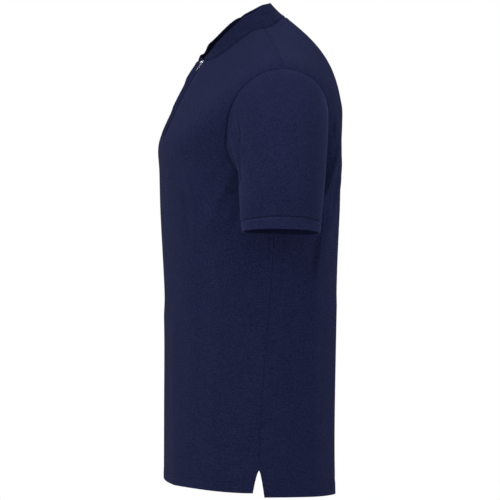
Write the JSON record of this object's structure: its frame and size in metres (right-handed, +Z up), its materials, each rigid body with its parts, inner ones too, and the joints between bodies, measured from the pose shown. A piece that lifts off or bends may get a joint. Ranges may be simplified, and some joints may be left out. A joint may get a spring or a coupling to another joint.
{
  "type": "polo shirt",
  "caption": "Short-sleeved knitted polo shirt with a band collar, a short neck zip and side vents, standing open as worn.",
  "frame": {"origin": "between the shoulders, half way down their slope, where the wearer's shoulders hold the shirt up", "axes": "+Z up, -Y towards the front of the shirt, +X towards the wearer's left"},
  "size_m": [0.65, 0.2776, 0.7658],
  "materials": {
    "knit": "matte fine knit, dark navy",
    "rib": "matte fine rib, dark navy",
    "tape": "matte woven tape",
    "teeth": "satin",
    "slider": "bright",
    "pull": "dark satin"
  },
  "bodies": {
    "shirt": {"front": "knit", "back": "knit", "sleeve_left": "knit", "sleeve_right": "knit", "cuff_left": "rib", "cuff_right": "rib", "collar": "rib", "zip_tape_left": "tape", "zip_tape_right": "tape", "zip_teeth_left": "teeth", "zip_teeth_right": "teeth", "zip_slider": "slider"},
    "pull_tab": {"zip_pull": "pull"}
  },
  "joints": [
    {"name": "pull_swing", "type": "hinge", "parent": "shirt", "child": "pull_tab", "pos_m": [0, -0.0926, -0.01239], "axis": [-1, 0, 0], "range_deg": [0, 150]}
  ]
}
